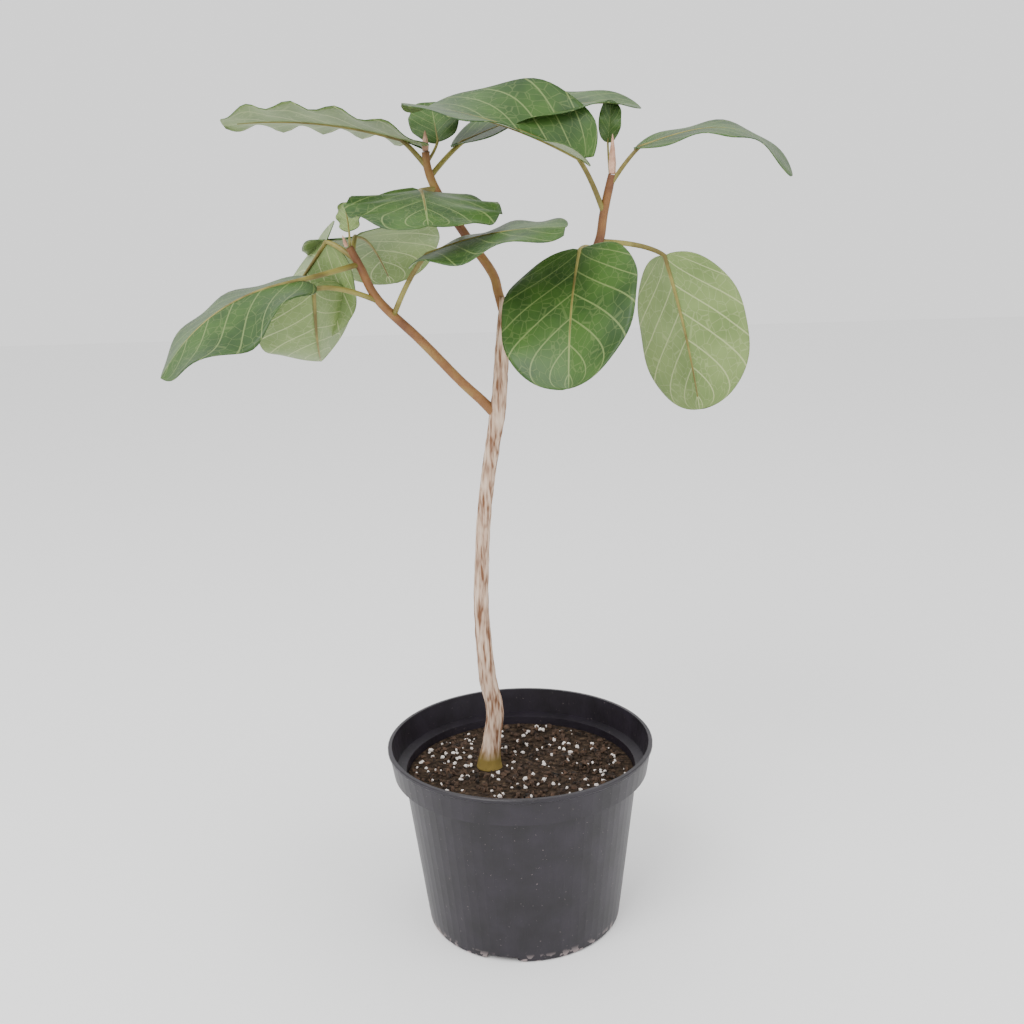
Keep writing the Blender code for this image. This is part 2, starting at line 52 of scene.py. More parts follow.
# Studio
FLOOR_REACH = 6.0
FLOOR_DROP = 0.0002
FLOOR_GREY = 0.93
SKY_STRENGTH = 1.35
LIGHTS_AIM = (0.0, 0.0, 0.35)
LIGHTS = {
    "key": {"place": (-1.0, -1.4, 1.9), "power": 46.0, "size": 1.4},
    "fill": {"place": (1.4, -0.8, 1.2), "power": 12.0, "size": 1.6},
}

# Colours, low to high along the noise that spreads them
PEAT = ((0.35, (0.010, 0.007, 0.005)), (0.6, (0.045, 0.030, 0.020)), (0.8, (0.12, 0.08, 0.05)))
BARK_BIT = ((0.35, (0.010, 0.007, 0.005)), (0.7, (0.09, 0.05, 0.03)))
PERLITE = ((0.3, (0.55, 0.48, 0.45)), (0.7, (0.80, 0.76, 0.72)))
POT_PLASTIC = ((0.35, (0.006, 0.004, 0.007)), (0.75, (0.015, 0.011, 0.018)))
POT_CRUST = (0.42, 0.34, 0.33)
BARK = ((0.36, (0.16, 0.075, 0.04)), (0.52, (0.47, 0.33, 0.24)), (0.7, (0.62, 0.48, 0.38)))
MOSSY_FOOT = (0.17, 0.12, 0.03)
BOUGH_BARK = ((0.35, (0.12, 0.045, 0.018)), (0.55, (0.21, 0.095, 0.03)), (0.7, (0.26, 0.17, 0.045)))
BUD_SHEATH = ((0.35, (0.36, 0.19, 0.12)), (0.65, (0.58, 0.36, 0.25)))
STALK = ((0.4, (0.13, 0.10, 0.02)), (0.6, (0.24, 0.21, 0.05)))
TOP_GREEN = ((0.35, (0.020, 0.055, 0.010)), (0.65, (0.045, 0.105, 0.016)))
TOP_VEIN = (0.16, 0.22, 0.07)
UNDER_GREEN = ((0.35, (0.13, 0.20, 0.055)), (0.65, (0.19, 0.27, 0.085)))
UNDER_VEIN = (0.38, 0.44, 0.20)
NOISE_DETAIL = 4.0

# Bark: how its grain is stretched, and the heights between which the mossy foot fades
BARK_GRAIN = (420.0, 420.0, 60.0)
MOSS_FADES = (0.133, 0.123)

# Pot: the heights between which the mineral crust fades in, and how much shows of it
CRUST_FADES = (0.007, 0.001)
CRUST_SHARE = 0.6
FLECK_SHARE = 0.35

# Veins: half widths as shares of the blade, number and slope of the side veins
RIB_HALF_WIDTH = 0.009
VEIN_COUNT = 5.5
VEIN_SLOPE = 0.42
VEIN_HALF_WIDTH = 0.035
VEIN_STRENGTH = 0.8
NET_SCALE = 15.0
NET_HALF_WIDTH = 0.035
NET_STRENGTH = 0.28

# Trunk: where its axis passes, and its radius there
TRUNK = (
    ((-0.0240, 0.008, 0.1158), 0.0102),
    ((-0.0236, 0.008, 0.122), 0.0086),
    ((-0.0215, 0.008, 0.137), 0.0070),
    ((-0.0185, 0.008, 0.162), 0.0067),
    ((-0.0228, 0.007, 0.187), 0.0067),
    ((-0.0250, 0.006, 0.219), 0.0061),
    ((-0.0258, 0.005, 0.251), 0.0056),
    ((-0.0240, 0.004, 0.282), 0.0054),
    ((-0.0218, 0.003, 0.312), 0.0053),
    ((-0.0178, 0.002, 0.342), 0.0053),
    ((-0.0128, 0.001, 0.371), 0.0054),
    ((-0.0095, 0.001, 0.389), 0.0058),
    ((-0.0070, 0.000, 0.408), 0.0054),
    ((-0.0040, 0.000, 0.440), 0.0052),
    ((0.0000, 0.000, 0.471), 0.0051),
)
BARK_SIDES = 56
BARK_STEPS = 14
BARK_RELIEF = 0.00045

# Boughs: where each axis passes, and its radius there. Each starts on the trunk's axis.
BOUGHS = {
    "left_bough": (
        ((-0.0090, 0.001, 0.388), 0.0040),
        ((-0.0200, 0.000, 0.400), 0.0036),
        ((-0.0350, -0.002, 0.415), 0.0034),
        ((-0.0610, -0.006, 0.444), 0.0033),
        ((-0.0880, -0.010, 0.472), 0.0031),
        ((-0.0985, -0.013, 0.494), 0.0029),
        ((-0.1050, -0.016, 0.508), 0.0026),
    ),
    "centre_bough": (
        ((-0.0020, 0.001, 0.458), 0.0036),
        ((-0.0060, 0.005, 0.474), 0.0034),
        ((-0.0100, 0.008, 0.488), 0.0033),
        ((-0.0250, 0.012, 0.510), 0.0032),
        ((-0.0380, 0.014, 0.530), 0.0031),
        ((-0.0470, 0.015, 0.545), 0.0030),
        ((-0.0520, 0.015, 0.559), 0.0029),
        ((-0.0530, 0.015, 0.570), 0.0027),
    ),
    "right_bough": (
        ((-0.0010, 0.001, 0.455), 0.0038),
        ((0.0160, 0.008, 0.466), 0.0036),
        ((0.0380, 0.010, 0.480), 0.0034),
        ((0.0570, 0.009, 0.494), 0.0033),
        ((0.0650, 0.008, 0.508), 0.0032),
        ((0.0680, 0.008, 0.525), 0.0031),
        ((0.0715, 0.007, 0.541), 0.0030),
        ((0.0740, 0.006, 0.551), 0.0028),
    ),
}
LIMB_SIDES = 24
LIMB_STEPS = 10
LIMB_RELIEF = 0.00012
BOUGH_STEPS = 3

# Relief of a limb: how fine its noise is round and along it, and the noise that is level
RELIEF_ROUND = 700
RELIEF_ALONG = 110
RELIEF_LEVEL = 0.4
SIDE_HINT = (0.31, 0.95, 0.05)

# Leaf form shared by every leaf
PETIOLE_RADIUS = 0.0023
PETIOLE_SIDES = 14
PETIOLE_STEPS = 12
PETIOLE_SPRING = 0.35
PETIOLE_LEAD = 0.5
PETIOLE_END = 0.8
MIDRIB_STEPS = 14
MIDRIB_START = 0.7
MIDRIB_REACH = 0.92
MIDRIB_TIP = 0.22
MIDRIB_SUNK = 0.45
STALK_SHARE = 0.85
WIDEST = 0.47
ROUNDNESS = 0.92
ALONG = 40
ACROSS = 12
LEAF_THICK = 0.0006

# Grains on the potting mix: count, least and greatest size, seed, and height as a share
GRAIN_REACH = 0.084 * 0.97
SOIL_TOP = 0.1155
GRAIN_RISE = 0.35
GRAIN_JITTER = 0.18
PERLITE_GRAINS = {"count": 230, "sizes": (0.0008, 0.0022), "seed": 5, "squash": 0.8}
BARK_GRAINS = {"count": 900, "sizes": (0.0010, 0.0030), "seed": 9, "squash": 0.45}


@dataclass
class Leaf:
    """One leaf: a stalk from its bough and a broad blade held between a base and a tip.

    face is where the upper side looks. rise bends the midrib upwards by a share of the blade's
    length, and lean moves that bend towards the tip. fold lifts the left and right halves, in
    degrees, and changes to tip_fold along the blade. The waves are the height, count and start
    of the ripples along the margins, lobe is how far these run behind the base, and widest where
    the blade is.
    """

    name: str
    bough: str
    root: float
    base: tuple
    tip: tuple
    face: tuple
    width: float
    rise: float = 0.05
    lean: float = 0.0
    fold: tuple = (8.0, 8.0)
    tip_fold: tuple = ()
    left_wave: tuple = (0.0015, 2.5, 0.0)
    right_wave: tuple = (0.0015, 2.5, 0.4)
    lobe: float = 0.04
    widest: float = WIDEST
    stalk: float = PETIOLE_RADIUS


LEAVES = (
    Leaf(
        name="left_leaf_outer",
        bough="left_bough",
        root=0.86,
        base=(-0.139, -0.045, 0.487),
        tip=(-0.222, -0.075, 0.430),
        face=(-0.15, -0.1, 1.0),
        width=0.092,
        rise=0.12,
        fold=(-22.0, 0.0),
        left_wave=(0.007, 1.4, 0.1),
        lobe=0.13,
    ),
    Leaf(
        name="left_leaf_low",
        bough="left_bough",
        root=0.66,
        base=(-0.130, -0.020, 0.481),
        tip=(-0.138, 0.040, 0.427),
        face=(0.0, 0.6, 0.8),
        width=0.084,
        rise=-0.12,
        fold=(0.0, 52.0),
    ),
    Leaf(
        name="left_leaf_back",
        bough="left_bough",
        root=0.88,
        base=(-0.122, -0.005, 0.512),
        tip=(-0.174, 0.035, 0.455),
        face=(0.34, 0.90, 0.27),
        width=0.088,
        fold=(70.0, 0.0),
    ),
    Leaf(
        name="left_leaf_rear",
        bough="left_bough",
        root=0.95,
        base=(-0.103, 0.002, 0.515),
        tip=(-0.088, 0.085, 0.480),
        face=(-0.1, 0.4, 0.9),
        width=0.100,
        rise=0.12,
        fold=(4.0, 4.0),
    ),
    Leaf(
        name="left_leaf_inner",
        bough="left_bough",
        root=0.60,
        base=(-0.051, -0.048, 0.502),
        tip=(0.037, -0.080, 0.516),
        face=(0.0, -0.2, 1.0),
        width=0.090,
        fold=(-2.0, -6.0),
        right_wave=(0.004, 1.6, 0.1),
        lobe=0.12,
    ),
    Leaf(
        name="left_leaf_young",
        bough="left_bough",
        root=0.99,
        base=(-0.1045, -0.016, 0.519),
        tip=(-0.107, -0.016, 0.537),
        face=(0.5, 0.8, 0.0),
        width=0.020,
        stalk=0.0010,
    ),
    Leaf(
        name="centre_leaf_long",
        bough="centre_bough",
        root=0.86,
        base=(-0.070, 0.018, 0.579),
        tip=(-0.194, 0.032, 0.593),
        face=(0.0, 0.1, 1.0),
        width=0.086,
        fold=(4.0, 4.0),
        left_wave=(0.0025, 4.0, 0.1),
        right_wave=(0.003, 4.5, 0.4),
        lobe=0.17,
        widest=0.38,
    ),
    Leaf(
        name="centre_leaf_back",
        bough="centre_bough",
        root=0.80,
        base=(-0.028, 0.030, 0.577),
        tip=(0.097, 0.040, 0.598),
        face=(0.0, -0.3, 0.95),
        width=0.080,
        rise=0.08,
        lean=0.3,
        fold=(4.0, 9.0),
        lobe=0.07,
    ),
    Leaf(
        name="centre_leaf_front",
        bough="centre_bough",
        root=0.72,
        base=(-0.0565, -0.002, 0.544),
        tip=(-0.046, -0.100, 0.519),
        face=(0.0, -0.23, 0.97),
        width=0.102,
        fold=(-11.0, -3.0),
        left_wave=(0.0022, 3.5, 0.0),
        right_wave=(0.0022, 3.5, 0.4),
    ),
    Leaf(
        name="centre_leaf_young",
        bough="centre_bough",
        root=0.90,
        base=(-0.045, 0.028, 0.578),
        tip=(-0.050, 0.049, 0.606),
        face=(0.0, -0.8, 0.3),
        width=0.036,
        stalk=0.0014,
    ),
    Leaf(
        name="right_leaf_upper",
        bough="right_bough",
        root=0.72,
        base=(0.050, -0.004, 0.562),
        tip=(-0.065, -0.020, 0.598),
        face=(0.0, 0.0, 1.0),
        width=0.094,
        fold=(-4.0, 88.0),
        tip_fold=(-14.0, -8.0),
        lobe=0.08,
    ),
    Leaf(
        name="right_leaf_front",
        bough="right_bough",
        root=0.50,
        base=(0.0485, -0.038, 0.502),
        tip=(0.036, -0.108, 0.420),
        face=(-0.42, -0.66, 0.6),
        width=0.094,
        lobe=0.01,
    ),
    Leaf(
        name="right_leaf_hanging",
        bough="right_bough",
        root=0.56,
        base=(0.113, 0.030, 0.496),
        tip=(0.140, 0.034, 0.384),
        face=(0.48, 0.87, 0.1),
        width=0.092,
        fold=(29.0, 29.0),
        tip_fold=(15.0, 29.0),
        lobe=0.0,
        widest=0.52,
    ),
    Leaf(
        name="right_leaf_arching",
        bough="right_bough",
        root=0.88,
        base=(0.092, 0.000, 0.568),
        tip=(0.193, -0.010, 0.546),
        face=(0.0, 0.0, 1.0),
        width=0.050,
        rise=0.21,
        lean=0.3,
        fold=(14.0, -14.0),
        stalk=0.0019,
    ),
    Leaf(
        name="right_leaf_young",
        bough="right_bough",
        root=0.93,
        base=(0.0720, 0.0145, 0.574),
        tip=(0.0745, 0.0150, 0.600),
        face=(0.0, -1.0, 0.0),
        width=0.017,
        fold=(25.0, 25.0),
        stalk=0.0010,
    ),
)


def unit(vector):
    """The vector, or each row of them, at length 1."""
    vector = np.asarray(vector, float)
    return vector / np.linalg.norm(vector, axis=-1, keepdims=True)


def smooth_path(knots, steps):
    """Points and radii on a smooth curve through the knots, each a place and a radius."""
    rows = np.array([(*place, radius) for place, radius in knots])
    ends = np.vstack([2 * rows[0] - rows[1], rows, 2 * rows[-1] - rows[-2]])
    t = np.linspace(0.0, 1.0, steps, endpoint=False)[:, None]
    found = []
    for before, start, end, after in zip(ends, ends[1:], ends[2:], ends[3:]):
        found.append(
            0.5
            * (
                2 * start
                + (end - before) * t
                + (2 * before - 5 * start + 4 * end - after) * t**2
                + (3 * start - before - 3 * end + after) * t**3
            )
        )
    found.append(rows[-1:])
    rows = np.vstack(found)
    return rows[:, :3], rows[:, 3]


def midrib(leaf, s):
    """Places on the midrib, for a column of s. s is 0 at the blade's base and 1 at its tip."""
    base, tip = np.array(leaf.base), np.array(leaf.tip)
    ahead = tip - base
    length = np.linalg.norm(ahead)
    up = np.array(leaf.face, float)
    up = unit(up - unit(ahead) * (up @ unit(ahead)))
    arch = 4 * s * (1 - s) * (1 + leaf.lean * (2 * s - 1))
    return base + s * ahead + length * arch * (leaf.rise * up)


def blade_frame(leaf, s):
    """Midrib places with the directions ahead, right and up there, for a column of s.

    Below 0 the places run straight on behind the base.
    """
    small = 1e-3
    inside = np.maximum(s, 0.0)
    places = midrib(leaf, inside)
    ahead = unit(midrib(leaf, inside + small) - midrib(leaf, inside - small))
    length = np.linalg.norm(np.subtract(leaf.tip, leaf.base))
    places = places + (s - inside) * length * ahead
    face = np.array(leaf.face, float)
    up = unit(face - ahead * (ahead @ face)[:, None])
    return places, ahead, np.cross(ahead, up), up


def margin(leaf, t):
    """The half outline from base to tip, an oval that begins behind the base by the lobe."""
    around = np.cos(np.pi * t)
    reach = np.where(around > 0, leaf.widest + leaf.lobe, 1.0 - leaf.widest)
    width = np.sin(np.pi * t) ** ROUNDNESS
    return leaf.widest - reach * around, width


def on_blade(leaf, side, along, across, out):
    """Places on the blade. along is a share of the length and across one of the half width.

    side is -1 for the left half and 1 for the right one. out runs from 0 at the midrib to 1 at
    the margin and scales the ripples.
    """
    half = 0 if side < 0 else 1
    places, _, right, up = blade_frame(leaf, along[:, None])
    ended = (leaf.tip_fold or leaf.fold)[half]
    fold = np.radians(leaf.fold[half] + (ended - leaf.fold[half]) * np.clip(along, 0.0, 1.0))
    flat, high = across * np.cos(fold), across * np.sin(fold)
    height, count, start = (leaf.left_wave, leaf.right_wave)[half]
    ripple = height * out**2 * np.sin(2 * np.pi * (count * along + start))
    half_width = leaf.width / 2
    return (
        places
        + right * (side * half_width * flat)[:, None]
        + up * (half_width * high + ripple)[:, None]
    )


def even_steps():
    """Shares of the blade's length, closer together towards its ends, base and tip left out."""
    t = np.arange(1, ALONG) / ALONG
    return t, (1 - np.cos(np.pi * t)) / 2


def blade_rows(leaf, side):
    """Rows of blade points from the midrib out to one margin, base and tip left out."""
    t, even = even_steps()
    along, width = margin(leaf, t)
    rows = []
    for k in range(ACROSS + 1):
        out = k / ACROSS
        share = even + (along - even) * out
        rows.append(on_blade(leaf, side, share, width * out, np.full(len(even), out)))
    return np.stack(rows, axis=1)


def stalk_path(leaf):
    """The stalk's places and radii, from the bough's axis to the blade and along its midrib."""
    axis, _ = smooth_path(BOUGHS[leaf.bough], BOUGH_STEPS)
    reach = np.linspace(0.0, 1.0, len(axis))
    root = np.array([np.interp(leaf.root, reach, axis[:, i]) for i in range(3)])
    base = np.array(leaf.base)
    _, ahead, _, _ = blade_frame(leaf, np.array([[0.0]]))
    span = np.linalg.norm(base - root)
    arrive = unit(base - root) + PETIOLE_LEAD * ahead[0]
    bend = base - PETIOLE_SPRING * span * unit(arrive)
    t = np.linspace(0.0, 1.0, PETIOLE_STEPS)[:, None]
    stalk = (1 - t) ** 2 * root + 2 * t * (1 - t) * bend + t**2 * base
    s = np.linspace(0.0, MIDRIB_REACH, MIDRIB_STEPS)[1:, None]
    rib, _, _, rib_up = blade_frame(leaf, s)
    points = np.vstack([stalk, rib - MIDRIB_SUNK * LEAF_THICK * rib_up])
    to_blade = np.linspace(1.0, PETIOLE_END, PETIOLE_STEPS)
    on_rib = np.linspace(MIDRIB_START, MIDRIB_TIP, len(s))
    return points, leaf.stalk * np.concatenate([to_blade, on_rib])


def ramp(tree, factor, stops):
    """A colour ramp on a factor socket. stops are places and colours."""
    node = tree.nodes.new("ShaderNodeValToRGB")
    while len(node.color_ramp.elements) < len(stops):
        node.color_ramp.elements.new(0.5)
    for element, (place, colour) in zip(node.color_ramp.elements, stops):
        element.position = place
        element.color = (*colour, 1.0)
    tree.links.new(factor, node.inputs["Fac"])
    return node.outputs["Color"]


def maths(tree, operation, first, second=0.0):
    """The result of one sum. Each input is a number or a socket."""
    node = tree.nodes.new("ShaderNodeMath")
    node.operation = operation
    for socket, value in zip(node.inputs, (first, second)):
        if isinstance(value, float):
            socket.default_value = value
        else:
            tree.links.new(value, socket)
    return node.outputs[0]


def mix(tree, factor, first, second):
    """The first colour where factor is 0 and the second where it is 1."""
    node = tree.nodes.new("ShaderNodeMix")
    node.data_type = "RGBA"
    tree.links.new(factor, node.inputs["Factor"])
    colour_inputs = [socket for socket in node.inputs if socket.type == "RGBA"]
    for socket, value in zip(colour_inputs, (first, second)):
        if isinstance(value, tuple):
            socket.default_value = (*value, 1.0)
        else:
            tree.links.new(value, socket)
    return next(socket for socket in node.outputs if socket.type == "RGBA")


def new_material(name, roughness, specular=0.4):
    """A material with its node tree and its shader."""
    made = bpy.data.materials.new(name)
    made.use_nodes = True
    shader = made.node_tree.nodes["Principled BSDF"]
    shader.inputs["Roughness"].default_value = roughness
    shader.inputs["Specular IOR Level"].default_value = specular
    return made, made.node_tree, shader


def object_place(tree):
    """The socket that gives a point's place in metres."""
    return tree.nodes.new("ShaderNodeTexCoord").outputs["Object"]


def noise_on(tree, scale):
    """The socket of a noise of the given scale over the object."""
    node = tree.nodes.new("ShaderNodeTexNoise")
    node.inputs["Scale"].default_value = scale
    node.inputs["Detail"].default_value = NOISE_DETAIL
    tree.links.new(object_place(tree), node.inputs["Vector"])
    return node.outputs["Fac"]


def height_fade(tree, start, end):
    """A factor that goes from 0 at the start height to 1 at the end height."""
    split = tree.nodes.new("ShaderNodeSeparateXYZ")
    tree.links.new(object_place(tree), split.inputs[0])
    fade = tree.nodes.new("ShaderNodeMapRange")
    fade.inputs["From Min"].default_value = start
    fade.inputs["From Max"].default_value = end
    tree.links.new(split.outputs["Z"], fade.inputs["Value"])
    return fade.outputs[0]


def bump(tree, shader, height, strength, distance):
    """Raises the surface by the height socket."""
    node = tree.nodes.new("ShaderNodeBump")
    node.inputs["Strength"].default_value = strength
    node.inputs["Distance"].default_value = distance
    tree.links.new(height, node.inputs["Height"])
    tree.links.new(node.outputs["Normal"], shader.inputs["Normal"])


def speckled(name, stops, scale, roughness, relief=0.0005, specular=0.4):
    """A material whose colour follows noise of the given scale, with a bump from it."""
    made, tree, shader = new_material(name, roughness, specular)
    factor = noise_on(tree, scale)
    tree.links.new(ramp(tree, factor, stops), shader.inputs["Base Color"])
    bump(tree, shader, factor, 0.5, relief)
    return made


def leaf_material(name, greens, vein, relief):
    """A blade's side: mottled green with a midrib, side veins and a fine net between them."""
    made, tree, shader = new_material(name, 0.46, 0.35)
    green = ramp(tree, noise_on(tree, 38.0), greens)
    where = tree.nodes.new("ShaderNodeUVMap")
    where.uv_map = "blade"
    split = tree.nodes.new("ShaderNodeSeparateXYZ")
    tree.links.new(where.outputs["UV"], split.inputs[0])
    along, across = split.outputs["X"], split.outputs["Y"]
    aside = maths(tree, "ABSOLUTE", maths(tree, "SUBTRACT", across, 0.5))
    rib = maths(tree, "LESS_THAN", aside, RIB_HALF_WIDTH)
    slope = maths(tree, "SUBTRACT", along, maths(tree, "MULTIPLY", aside, 2 * VEIN_SLOPE))
    turns = maths(tree, "MULTIPLY", slope, VEIN_COUNT)
    side = maths(tree, "LESS_THAN", maths(tree, "PINGPONG", turns, 0.5), VEIN_HALF_WIDTH)
    net = tree.nodes.new("ShaderNodeTexVoronoi")
    net.feature = "DISTANCE_TO_EDGE"
    net.inputs["Scale"].default_value = NET_SCALE
    tree.links.new(where.outputs["UV"], net.inputs["Vector"])
    fine = maths(tree, "LESS_THAN", net.outputs["Distance"], NET_HALF_WIDTH)
    faint = maths(tree, "MULTIPLY", fine, NET_STRENGTH)
    bold = maths(tree, "MAXIMUM", rib, maths(tree, "MULTIPLY", side, VEIN_STRENGTH))
    veins = maths(tree, "MAXIMUM", bold, faint)
    tree.links.new(mix(tree, veins, green, vein), shader.inputs["Base Color"])
    bump(tree, shader, veins, 0.6, relief)
    return made


def bark_material():
    """Pale tan bark with brown cracks, and a mossy olive foot."""
    made, tree, shader = new_material("bark", 0.82, 0.2)
    stretch = tree.nodes.new("ShaderNodeMapping")
    stretch.inputs["Scale"].default_value = BARK_GRAIN
    grain = tree.nodes.new("ShaderNodeTexNoise")
    grain.inputs["Scale"].default_value = 1.0
    tree.links.new(object_place(tree), stretch.inputs["Vector"])
    tree.links.new(stretch.outputs[0], grain.inputs["Vector"])
    tan = ramp(tree, grain.outputs["Fac"], BARK)
    foot = height_fade(tree, *MOSS_FADES)
    tree.links.new(mix(tree, foot, tan, MOSSY_FOOT), shader.inputs["Base Color"])
    bump(tree, shader, grain.outputs["Fac"], 0.7, 0.0006)
    return made


def pot_material():
    """Dark plastic with pale flecks and a pale mineral crust along its foot."""
    made, tree, shader = new_material("pot plastic", 0.42, 0.45)
    plain = ramp(tree, noise_on(tree, 55.0), POT_PLASTIC)
    patchy = maths(tree, "GREATER_THAN", noise_on(tree, 160.0), 0.52)
    low_down = maths(tree, "MULTIPLY", height_fade(tree, *CRUST_FADES), patchy)
    crust = maths(tree, "MULTIPLY", low_down, CRUST_SHARE)
    specks = maths(tree, "GREATER_THAN", noise_on(tree, 620.0), 0.72)
    pale = maths(tree, "MAXIMUM", crust, maths(tree, "MULTIPLY", specks, FLECK_SHARE))
    tree.links.new(mix(tree, pale, plain, POT_CRUST), shader.inputs["Base Color"])
    bump(tree, shader, noise_on(tree, 300.0), 0.15, 0.0004)
    return made


def add_object(name, mesh, materials):
    """An object of the mesh, linked to the scene."""
    for made in materials:
        mesh.materials.append(made)
    obj = bpy.data.objects.new(name, mesh)
    bpy.context.scene.collection.objects.link(obj)
    return obj


def piece(name, points, faces, materials, node):
    """A smooth mesh object that rides on the body and stands for the node."""
    mesh = bpy.data.meshes.new(name)
    mesh.from_pydata([tuple(map(float, p)) for p in points], [], faces)
    mesh.shade_smooth()
    obj = add_object(name, mesh, materials)
    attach(obj, "root")
    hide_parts(node)
    return obj


def tube_mesh(points, radii, sides, relief=0.0, level_foot=False):
    """Points and faces of a round limb, roughened along its surface by noise."""
    heading = unit(np.gradient(points, axis=0))
    if level_foot:
        heading[0] = (0.0, 0.0, 1.0)
    turn = 2 * math.pi * np.arange(sides) / sides
    side = unit(np.cross(heading[0], SIDE_HINT))
    corners = []
    for place, radius, ahead in zip(points, radii, heading):
        side = unit(side - ahead * (side @ ahead))
        up = np.cross(ahead, side)
        for angle in turn:
            spoke = math.cos(angle) * side + math.sin(angle) * up
            corner = place + radius * spoke
            if relief:
                x, y, z = corner
                grain = Vector((x * RELIEF_ROUND, y * RELIEF_ROUND, z * RELIEF_ALONG))
                corner = corner + relief * (noise.noise(grain) - RELIEF_LEVEL) * spoke
            corners.append(corner)
    faces = []
    for i in range(len(points) - 1):
        low, high = i * sides, (i + 1) * sides
        for k in range(sides):
            after = (k + 1) % sides
            faces.append((low + k, low + after, high + after, high + k))
    faces.append(tuple(reversed(range(sides))))
    faces.append(tuple(range(len(corners) - sides, len(corners))))
    return corners, faces


def blade_sheet(leaf):
    """The blade as a sheet: its points, its faces and each point's place on the leaf."""
    left, right = blade_rows(leaf, -1.0), blade_rows(leaf, 1.0)
    rows = np.concatenate([left[:, :0:-1], right], axis=1)
    count = rows.shape[1]
    ends = midrib(leaf, np.array([[0.0], [1.0]]))
    corners = np.vstack([ends[:1], rows.reshape(-1, 3), ends[1:]])
    _, even = even_steps()
    share = np.linspace(0.0, 1.0, count)
    places = [(0.0, 0.5), *((float(u), float(v)) for u in even for v in share), (1.0, 0.5)]
    last = len(corners) - 1
    faces = []
    for k in range(count - 1):
        faces.append((0, 2 + k, 1 + k))
        for i in range(len(rows) - 1):
            a, b = 1 + i * count + k, 1 + (i + 1) * count + k
            faces.append((a, a + 1, b + 1, b))
        low = 1 + (len(rows) - 1) * count + k
        faces.append((low, low + 1, last))
    return corners, faces, places


def thicken(obj):
    """Gives the sheet its thickness. Its under side takes the next material."""
    solidify = obj.modifiers.new("thickness", "SOLIDIFY")
    solidify.thickness = LEAF_THICK
    solidify.offset = 0.0
    solidify.material_offset = 1
    graph = bpy.context.evaluated_depsgraph_get()
    mesh = bpy.data.meshes.new_from_object(obj.evaluated_get(graph))
    obj.modifiers.clear()
    obj.data = mesh


def add_stalk(obj, leaf, material_index):
    """Adds the stalk and the midrib's ridge to the leaf's mesh."""
    points, radii = stalk_path(leaf)
    corners, faces = tube_mesh(points, radii * STALK_SHARE, PETIOLE_SIDES)
    shape = bmesh.new()
    shape.from_mesh(obj.data)
    added = [shape.verts.new(tuple(map(float, p))) for p in corners]
    for face in faces:
        made = shape.faces.new([added[i] for i in face])
        made.material_index = material_index
        made.smooth = True
    shape.to_mesh(obj.data)
    shape.free()


def make_leaf_piece(leaf, skins):
    """The leaf's thin blade with its stalk and midrib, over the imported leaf.

    skins are the materials of its upper side, its under side and its stalk.
    """
    corners, faces, places = blade_sheet(leaf)
    obj = piece(leaf.name + "_skin", corners, faces, skins, leaf.name)
    uv = obj.data.uv_layers.new(name="blade")
    for loop in obj.data.loops:
        uv.data[loop.index].uv = places[loop.vertex_index]
    thicken(obj)
    add_stalk(obj, leaf, 2)


def grains(name, material, count, sizes, seed, squash):
    """Small stones strewn over the potting mix, joined in one mesh."""
    draw = random.Random(seed)
    shape = bmesh.new()
    for _ in range(count):
        angle, reach = draw.uniform(0, 2 * math.pi), GRAIN_REACH * math.sqrt(draw.random())
        size = draw.uniform(*sizes)
        turned_by = draw.uniform(0, math.pi)
        axis = (draw.random(), draw.random(), draw.random() + 0.1)
        turn = Matrix.Rotation(turned_by, 4, axis)
        x, y = reach * math.cos(angle), reach * math.sin(angle)
        where = Matrix.Translation((x, y, SOIL_TOP + size * GRAIN_RISE))
        scale = Matrix.Diagonal((size, size * draw.uniform(0.6, 1.0), size * squash, 1.0))
        matrix = where @ turn @ scale
        made = bmesh.ops.create_icosphere(shape, subdivisions=1, radius=1.0, matrix=matrix)
        for corner in made["verts"]:
            moved = [draw.uniform(-GRAIN_JITTER, GRAIN_JITTER) * size for _ in range(3)]
            corner.co += Vector(moved)
    mesh = bpy.data.meshes.new(name)
    shape.to_mesh(mesh)
    shape.free()
    obj = add_object(name, mesh, [material])
    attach(obj, "root")


def paint(node, material):
    """Gives a CAD node a finished material."""
    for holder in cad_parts[node].material_slots:
        holder.material = material


def make_limbs():
    """Trunk and boughs with the relief of their bark."""
    points, radii = smooth_path(TRUNK, BARK_STEPS)
    corners, faces = tube_mesh(points, radii, BARK_SIDES, BARK_RELIEF, level_foot=True)
    piece("trunk_bark", corners, faces, [bark_material()], "trunk")
    skin = speckled("bough bark", BOUGH_BARK, 45.0, 0.55, 0.0004)
    for name, knots in BOUGHS.items():
        points, radii = smooth_path(knots, LIMB_STEPS)
        corners, faces = tube_mesh(points, radii, LIMB_SIDES, LIMB_RELIEF)
        piece(name + "_bark", corners, faces, [skin], name)


def make_leaves():
    """Every leaf, dark green above and pale with raised veins below."""
    top = leaf_material("leaf top", TOP_GREEN, TOP_VEIN, -0.0006)
    under = leaf_material("leaf underside", UNDER_GREEN, UNDER_VEIN, 0.0008)
    stalk = speckled("stalk", STALK, 60.0, 0.5)
    for leaf in LEAVES:
        make_leaf_piece(leaf, [top, under, stalk])


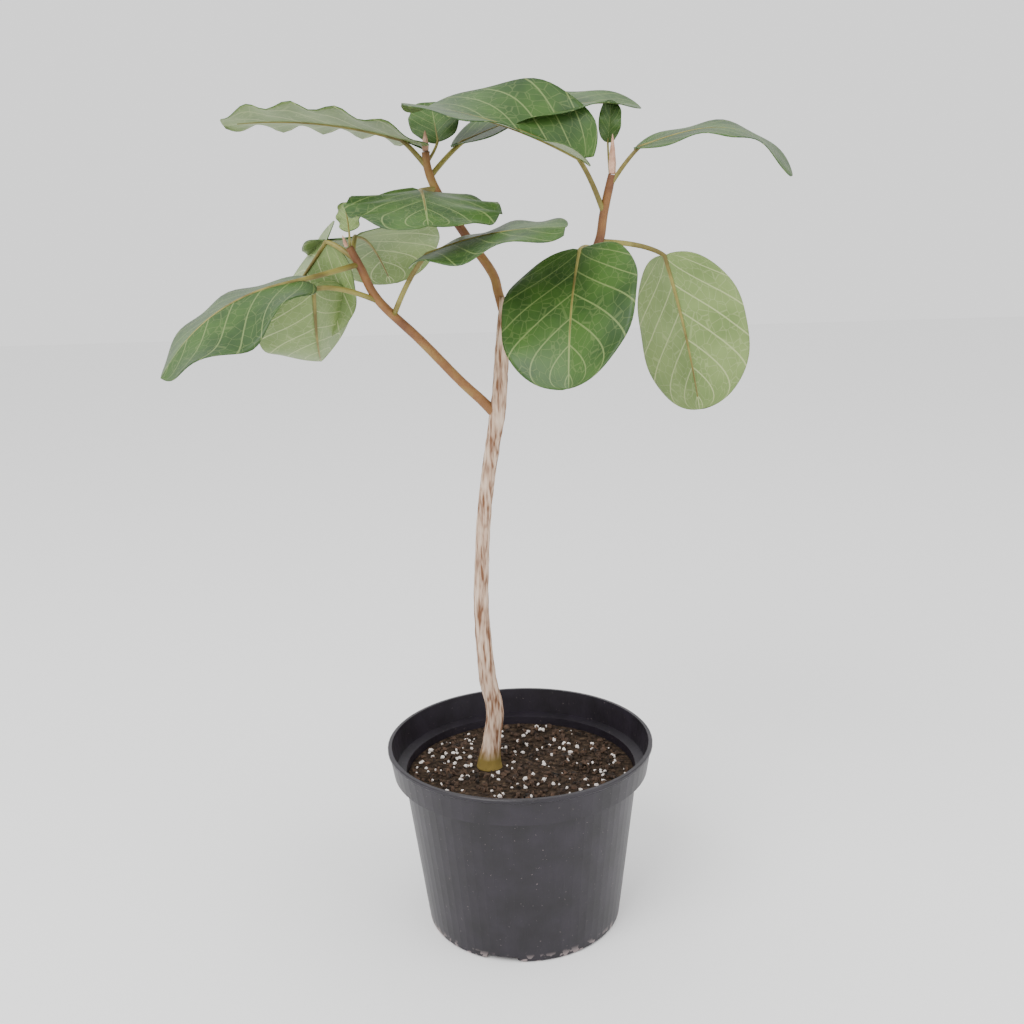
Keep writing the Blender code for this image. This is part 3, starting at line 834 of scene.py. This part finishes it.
def make_pot_and_soil():
    """Finishes the pot, the mix and the buds, and strews the grains."""
    paint("pot", pot_material())
    paint("soil", speckled("peat", PEAT, 260.0, 0.95, 0.002, 0.1))
    grains("perlite", speckled("perlite", PERLITE, 300.0, 0.9), **PERLITE_GRAINS)
    grains("bark_bits", speckled("bark bits", BARK_BIT, 200.0, 0.95), **BARK_GRAINS)
    sheath = speckled("bud sheath", BUD_SHEATH, 150.0, 0.55)
    for bud in ("left_bud", "centre_bud", "right_bud"):
        paint(bud, sheath)


def make_floor():
    """A pale floor, just below the pot."""
    mesh = bpy.data.meshes.new("floor")
    corners = [
        (x * FLOOR_REACH, y * FLOOR_REACH, -FLOOR_DROP)
        for x, y in ((-1, -1), (1, -1), (1, 1), (-1, 1))
    ]
    mesh.from_pydata(corners, [], [(0, 1, 2, 3)])
    white, _, shader = new_material("floor", 0.9, 0.1)
    shader.inputs["Base Color"].default_value = (FLOOR_GREY, FLOOR_GREY, FLOOR_GREY, 1.0)
    add_object("floor", mesh, [white])


def make_lights():
    """A white surrounding and two large soft lights."""
    world = bpy.data.worlds.new("studio")
    world.use_nodes = True
    background = world.node_tree.nodes["Background"]
    background.inputs["Color"].default_value = (1.0, 1.0, 1.0, 1.0)
    background.inputs["Strength"].default_value = SKY_STRENGTH
    bpy.context.scene.world = world
    for name, setting in LIGHTS.items():
        light = bpy.data.lights.new(name, "AREA")
        light.energy = setting["power"]
        light.size = setting["size"]
        lamp = bpy.data.objects.new(name, light)
        lamp.location = setting["place"]
        aim = Vector(LIGHTS_AIM) - Vector(setting["place"])
        lamp.rotation_euler = aim.to_track_quat("-Z", "Y").to_euler()
        bpy.context.scene.collection.objects.link(lamp)


def make_camera():
    """The camera where the photograph was taken from."""
    camera = bpy.data.objects.new("camera", bpy.data.cameras.new("camera"))
    camera.data.lens = CAMERA_LENS
    camera.data.clip_start = CAMERA_NEAREST
    tilt = Matrix.Rotation(math.radians(CAMERA_TILT), 4, "X")
    roll = Matrix.Rotation(math.radians(CAMERA_ROLL), 4, "Z")
    camera.matrix_world = Matrix.Translation(CAMERA_PLACE) @ tilt @ roll
    bpy.context.scene.collection.objects.link(camera)
    bpy.context.scene.camera = camera


make_floor()
make_lights()
make_camera()
make_limbs()
make_leaves()
make_pot_and_soil()
